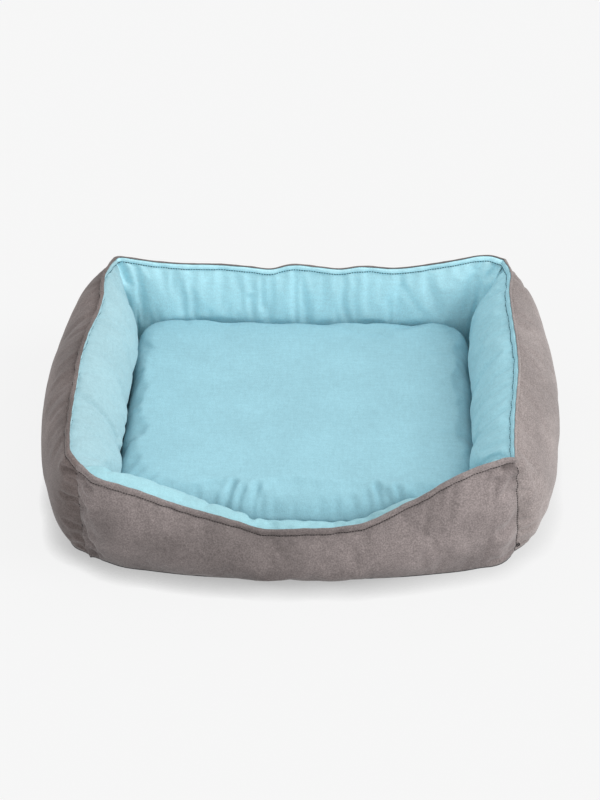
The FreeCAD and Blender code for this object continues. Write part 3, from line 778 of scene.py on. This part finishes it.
GREY, BLUE = (0.172, 0.150, 0.146), (0.31, 0.562, 0.645)
BLUE_SHEEN = (0.8, 0.95, 1)
PILE_PATTERN = [((16, 16, 16), 0.3, 0.7, 0.965, 1.035), ((70, 260, 260), 0.3, 0.7, 0.97, 1.03),
                ((300, 90, 300), 0.3, 0.7, 0.975, 1.025)]
SUEDE_PATTERN = [((9, 9, 12), 0.35, 0.65, 0.82, 1.16), ((55, 40, 75), 0.47, 0.56, 0.975, 1.035, 2.2),
                 ((150, 130, 190), 0.46, 0.58, 0.97, 1.03, 1.6), ((620, 620, 620), 0.3, 0.7, 0.78, 1.22)]
# Painted light and shade on each panel: a factor for red, green and blue, which makes lit and shaded copies
# of one cloth, and its gradual painted changes along an axis, darker towards the base or lighter towards the
# light.
PAINTED_PANEL_LIGHT = {
    ("left", 1): ((0.79, 0.74, 0.72), [("Z", 0.0, 0.1, 0.88, 1.14)]),
    ("front", 1): ((1.1, 1.08, 1.08), [("X", -0.02, 0.2, 0.97, 1.32), ("X", -0.16, -0.04, 1.02, 1.0),
                                       ("Z", 0.0, 0.035, 0.78, 1.0)]),
    ("right", 1): ((1.62, 1.6, 1.58), [("Z", 0.0, 0.03, 0.88, 1.0)]), ("back", 1): ((1.0, 1.0, 1.0), []),
    ("left", -1): ((1.03, 0.88, 0.84), []), ("right", -1): ((1.04, 1.04, 1.03), []),
    ("back", -1): ((1.56, 1.4, 1.34), []), ("front", -1): ((1.02, 0.98, 0.94), [])}
materials = {}
for key, (painted_light_factors, painted_shading) in PAINTED_PANEL_LIGHT.items():
    name, side = key
    tone, pattern, cloth = (GREY, SUEDE_PATTERN, "suede") if side > 0 else (BLUE, PILE_PATTERN, "plush")
    tint = (1, 1, 1) if side > 0 else BLUE_SHEEN
    materials[key] = cloth_material(f"{name}_{cloth}", tuple(a * b for a, b in zip(tone, painted_light_factors)), pattern,
                                    sheen_tint=tint, painted_shading=painted_shading)
materials["cushion"] = cloth_material("cushion_plush", tuple(c * 0.93 for c in BLUE), PILE_PATTERN,
                                      sheen_tint=BLUE_SHEEN)
for key, name, colour, waves, dark, light, sheen in (
        ("fibre", "white_fibre", (0.82, 0.82, 0.8), 90, 0.85, 1.0, 0.2),
        ("base", "dark_base", (0.02, 0.02, 0.022), 400, 0.8, 1.2, 0.2),
        ("grey_thread", "grey_thread", (0.05, 0.043, 0.042), 900, 0.8, 1.1, 0.2),
        ("blue_thread", "blue_thread", (0.02, 0.085, 0.12), 900, 0.8, 1.1, 0.2),
        ("dark_thread", "dark_thread", (0.02, 0.018, 0.018), 900, 0.7, 1.3, 0.2),
        ("rubber", "grip_rubber", (0.012, 0.012, 0.012), 50, 0.9, 1.1, 0)):
    layers = [((waves, waves, waves), 0.3, 0.7, dark, light)]
    materials[key] = cloth_material(name, colour, layers, sheen=sheen)

# ---- walls ----

for (name, side), points in designs.items():
    panel = cloth_panel(f"{name}_{SIDE_NAMES[side]}_cloth", points, side > 0)
    finish_piece(panel, "surround", [f"{name}_{SIDE_NAMES[side]}"], materials[name, side])

STUFFING_INSET = 11 * MM  # how far a wall's stuffing stays inside its panels
STUFFING_LEAST = 0.3      # and the smallest share of a section that it keeps
for name in RING:
    outer, lining = (designs[name, side][LEAF_ROWS - 1::3, 1:-1:3] for side in (1, -1))
    rings = []
    for column in range(outer.shape[1]):
        other = min(column, lining.shape[1] - 1)
        ring = np.concatenate([outer[2:, column], lining[::-1, other][:-2]])
        middle = ring.mean(axis=0)
        reach = ring - middle
        length = np.linalg.norm(reach, axis=1)[:, None]
        ring = middle + reach * np.maximum(STUFFING_LEAST, 1 - STUFFING_INSET / length)
        ring += wander(ring, 70, 1 * MM, 5)[:, None] * reach / length
        ring[:, 2] = np.maximum(ring[:, 2], BASE_Z + 0.5 * MM)
        rings.append(ring)
    stuffing = new_piece(f"{name}_wall_stuffing", *tube_between(rings))
    finish_piece(stuffing, "surround", [f"{name}_wall_filling"], materials["fibre"])

# ---- cushion ----

for upward, name in ((True, "top"), (False, "bottom")):
    half = cloth_panel(f"cushion_{name}_cloth", cushion[upward], not upward)
    finish_piece(half, "cushion", [f"cushion_{name}_panel"], materials["cushion"])

STUFFING_GAP = 2.2 * MM   # how far the cushion's stuffing stays inside its cover
STUFFING_SPREAD = 0.985   # and its plan, as a share of the cover's


def closed_from_grids(name, upper, lower, seed):
    """A closed form between two grids that share their outline, moved in from both and a little lumpy."""
    rows, columns = upper.shape[:2]
    middle = (upper.reshape(-1, 3).mean(axis=0) + lower.reshape(-1, 3).mean(axis=0)) / 2
    grids = []
    for points, way in ((upper, -1), (lower, 1)):
        moved = points.copy()
        moved[:, :, :2] = middle[:2] + (points[:, :, :2] - middle[:2]) * STUFFING_SPREAD
        lumps = np.abs(wander(points, 40, 1.5 * MM, seed))
        moved[:, :, 2] += way * (STUFFING_GAP + lumps)
        grids.append(moved)
    crossing = grids[0][:, :, 2] < grids[1][:, :, 2] + 0.4 * MM
    level = (grids[0][:, :, 2] + grids[1][:, :, 2]) / 2
    grids[0][:, :, 2] = np.where(crossing, level + 0.2 * MM, grids[0][:, :, 2])
    grids[1][:, :, 2] = np.where(crossing, level - 0.2 * MM, grids[1][:, :, 2])
    count = rows * columns
    faces = [tuple(face) for face in grid_faces(rows, columns)]
    faces += [tuple(face + count) for face in grid_faces(rows, columns, flip=True)]
    loop = outline_of(rows, columns)
    for a, b in zip(loop, loop[1:] + loop[:1]):
        faces.append((b, a, a + count, b + count))
    return new_piece(name, np.concatenate([grids[0].reshape(-1, 3), grids[1].reshape(-1, 3)]), faces)


def outline_of(rows, columns):
    """Indices of a grid's border, once round, first row first."""
    grid = np.arange(rows * columns).reshape(rows, columns)
    return (list(grid[0]) + list(grid[1:, -1]) + list(grid[-1, -2::-1]) + list(grid[-2:0:-1, 0]))


stuffing = closed_from_grids("cushion_stuffing", cushion[True], cushion[False], 51)
finish_piece(stuffing, "cushion", ["cushion_filling"], materials["fibre"])

# ---- base ----


ROUND_COUNT = 320
LAYER_RINGS = 14


def round_trip(points):
    """The outline that points make about the origin, at even angles, so that it never folds over itself."""
    angles = np.arctan2(points[:, 1], points[:, 0])
    order = np.argsort(angles)
    even = np.linspace(-math.pi, math.pi, ROUND_COUNT, endpoint=False)
    radius = np.interp(even, angles[order], np.linalg.norm(points, axis=1)[order], period=2 * math.pi)
    return radius[:, None] * np.column_stack([np.cos(even), np.sin(even)])


def layer(name, outline, low, high, ripple, seed):
    """A closed flat layer inside an outline, between two levels, its upper side rippled."""
    middle = outline.mean(axis=0)
    upper, lower = [], []
    for i in range(LAYER_RINGS):
        loop = middle + (outline - middle) * (1 - i / LAYER_RINGS)
        flat = np.column_stack([loop, np.full(len(outline), high)])
        flat[:, 2] -= np.abs(wander(flat, 30, ripple, seed)) * min(1, i / 2)
        upper.append(flat)
        lower.append(np.column_stack([loop, np.full(len(outline), low)]))
    return new_piece(name, *tube_between(lower[::-1] + upper))


foot = np.concatenate([designs[name, 1][-1, :-1, :2] for name in RING])
base = layer("base_sheet", foot, edge("base_cloth", 2, False), BASE_Z - 0.05 * MM, 0.0, 1)
finish_piece(base, "surround", ["base_cloth"], materials["base"])


def rounded_outline(node, inset):
    """The outline of a flat layer's CAD box, moved in and with its corners rounded."""
    low, high = (np.array(corner[:2]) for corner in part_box(node))
    middle, half = (low + high) / 2, (high - low) / 2 - inset
    angle = np.linspace(0, 2 * math.pi, 200, endpoint=False)
    circle = np.column_stack([np.cos(angle), np.sin(angle)])
    return middle + circle / square_norm(*circle.T)[:, None] * half


wadding = layer("base_quilt_wadding", rounded_outline("base_wadding", 1 * MM),
                edge("base_wadding", 2, False), edge("base_wadding", 2, True), 1.2 * MM, 61)
finish_piece(wadding, "surround", ["base_wadding"], materials["fibre"])
FLOOR_LINING_GAP = 1.5 * MM    # between the floor lining and the walls
lining_outline = []
for name in RING:
    for column in designs[name, -1][LEAF_ROWS:, :-1].transpose(1, 0, 2):
        order = np.argsort(column[:, 2])
        lining_outline.append([np.interp(FLOOR_TOP, column[order, 2], column[order, k]) for k in range(2)])
lining_outline = round_trip(np.array(lining_outline))
lining_outline *= 1 - FLOOR_LINING_GAP / np.linalg.norm(lining_outline, axis=1)[:, None]
lining = layer("floor_lining_sheet", lining_outline, edge("floor_lining", 2, False), FLOOR_TOP, 0.0, 71)
finish_piece(lining, "surround", ["floor_lining"], materials["cushion"])
grip_dots = bpy.data.objects["grip_dots"]
for slot in grip_dots.material_slots:
    slot.material = materials["rubber"]
if not grip_dots.material_slots:
    grip_dots.data.materials.append(materials["rubber"])

# ---- sewing ----

STITCH = 2.3 * MM
STITCH_RADIUS = 0.55 * MM


def part_way(line, run, at):
    """The row of a line of points or directions, read at a distance along it."""
    return np.array([np.interp(at, run, line[:, k]) for k in range(3)])


def ring_of(centre, radius, first, second, count):
    """Points round a centre, in the plane of two directions."""
    angles = np.arange(count) * math.pi / (count / 2)
    return centre + radius * (np.cos(angles)[:, None] * first + np.sin(angles)[:, None] * second)


def stitches_along(name, line, outward, material):
    """Separate stitches along a line of points, each a short thread that dips into the cloth at both ends."""
    run = run_along(line)
    points, faces = [], []
    for start in np.arange(STITCH_PITCH, run[-1] - STITCH_PITCH, STITCH_PITCH):
        rings = []
        for share in (0.0, 0.12, 0.5, 0.88, 1.0):
            at = start + STITCH * share
            centre, lift = part_way(line, run, at), part_way(outward, run, at)
            ahead = part_way(line, run, at + MM) - centre
            ahead /= max(np.linalg.norm(ahead), 1e-9)
            arch = math.sin(math.pi * share)
            centre = centre + lift * (arch * 0.35 - 0.15) * MM
            radius = STITCH_RADIUS * (0.45 + 0.55 * arch ** 0.5)
            rings.append(ring_of(centre, radius, lift, np.cross(ahead, lift), 6))
        ring_points, ring_faces = tube_between(rings)
        offset = sum(len(p) for p in points)
        points.append(ring_points)
        faces += [tuple(i + offset for i in face) for face in ring_faces]
    finish_piece(new_piece(name, np.concatenate(points), faces), "surround", [], material)


for (name, side), points in designs.items():
    row = LEAF_ROWS - 2
    normal = normals_of(points)[row] * (-1 if side > 0 else 1)
    tone = "grey_thread" if side > 0 else "blue_thread"
    stitches_along(f"{name}_{SIDE_NAMES[side]}_stitches", points[row], normal, materials[tone])

for name, following in CORNERS:
    seam = designs[name, 1][LEAF_ROWS + 1:-1, -1]
    out = walls[name].outward + walls[following].outward
    lift = np.tile(np.append(out, 0.0) / np.linalg.norm(out), (len(seam), 1))
    stitches_along(f"{name}_{following}_seam_stitches", seam, lift, materials["grey_thread"])

KNOT_RADIUS = 2.3 * MM
THREAD_RADIUS = 0.55 * MM


def thread_tube(name, path, radius):
    """A closed tube of thread along a path of points, with rounded ends."""
    ahead = np.gradient(path, axis=0)
    ahead /= np.linalg.norm(ahead, axis=1)[:, None]
    side_way = np.cross(ahead, (0.31, 0.22, 0.92))
    side_way /= np.linalg.norm(side_way, axis=1)[:, None]
    up_way = np.cross(ahead, side_way)
    rings = []
    for i, centre in enumerate(path):
        end = min(i, len(path) - 1 - i)
        size = radius * (0.35, 0.8, 1)[min(end, 2)]
        rings.append(ring_of(centre, size, side_way[i], up_way[i], 8))
    return new_piece(name, *tube_between(rings))


knot_low, knot_high = (np.array(corner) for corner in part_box("corner_thread_knot"))
turn = np.linspace(0, 2 * math.pi * 0.94, 90)
corner_foot = designs["front", 1][-1, -1]
knot_middle = corner_foot + (3 * MM, -2 * MM, (knot_low[2] + knot_high[2]) / 2)
trefoil = np.column_stack([np.sin(turn) + 2 * np.sin(2 * turn), -np.sin(3 * turn),
                           np.cos(turn) - 2 * np.cos(2 * turn)]) / 3
knot = thread_tube("corner_knot", knot_middle + trefoil * KNOT_RADIUS, THREAD_RADIUS)
finish_piece(knot, "surround", ["corner_thread_knot"], materials["dark_thread"])

# ---- studio ----

scene = bpy.context.scene
bpy.ops.mesh.primitive_plane_add(size=40, location=(0, 0, 0))
floor = bpy.context.object
floor.name = "studio_floor"
made, tree, shader = new_material("pale_floor")
set_inputs(shader, {"Base Color": (0.06, 0.06, 0.06, 1), "Roughness": 0.9, "Specular IOR Level": 0.0,
                    "Emission Color": (1, 1, 1, 1)})
shelter = tree.nodes.new("ShaderNodeAmbientOcclusion")
set_inputs(shelter, {"Distance": 27 * MM})
shelter.samples = 2
# Painted shadow: the floor's glow darkens under the bed's edge, and less so on the lit side.
glow = 0.85
painted_floor_shadow = ramp(tree, shelter.outputs["AO"], 0.3, 1.0, 0.42 - glow, 0.0)
place = tree.nodes.new("ShaderNodeTexCoord").outputs["Object"]
unlit = along_axis(tree, place, "X", 0.0, 0.32, 1.0, 0.35)
shade = combine(tree, "ADD", combine(tree, "MULTIPLY", painted_floor_shadow, unlit), glow)
tree.links.new(shade, shader.inputs["Emission Strength"])
floor.data.materials.append(made)

world = bpy.data.worlds.new("studio")
scene.world = world
world.use_nodes = True
set_inputs(world.node_tree.nodes["Background"], {"Color": (1, 1, 1, 1), "Strength": 0.95})

# Soft sunlight from the right. Azimuth 0 is from the right and 90 from the back.
KEY_STRENGTH, KEY_SOFTNESS = 1.7, math.radians(35)
a, e = math.radians(-10), math.radians(36)
lamp = bpy.data.lights.new("key_light", "SUN")
lamp.energy = KEY_STRENGTH
lamp.angle = KEY_SOFTNESS
key_light = bpy.data.objects.new("key_light", lamp)
scene.collection.objects.link(key_light)
towards = Vector((math.cos(e) * math.cos(a), math.cos(e) * math.sin(a), math.sin(e)))
key_light.rotation_euler = towards.to_track_quat("Z", "Y").to_euler()

# ---- camera ----

CAMERA_ELEVATION = math.radians(36)
CAMERA_AZIMUTH = math.radians(1.15)
CAMERA_DISTANCE = 2.5058
CAMERA_TARGET = Vector((-0.0054, 0.0263, 0.06))
CAMERA_LENS = 96.5
back = Vector((math.sin(CAMERA_AZIMUTH) * math.cos(CAMERA_ELEVATION),
               -math.cos(CAMERA_AZIMUTH) * math.cos(CAMERA_ELEVATION), math.sin(CAMERA_ELEVATION)))
lens = bpy.data.cameras.new("camera")
lens.lens = CAMERA_LENS
lens.sensor_width = 36
lens.sensor_fit = "AUTO"
lens.clip_end = 60
camera = bpy.data.objects.new("camera", lens)
scene.collection.objects.link(camera)
camera.location = CAMERA_TARGET + back * CAMERA_DISTANCE
camera.rotation_euler = back.to_track_quat("Z", "Y").to_euler()
scene.camera = camera
scene.view_settings.view_transform = "Standard"
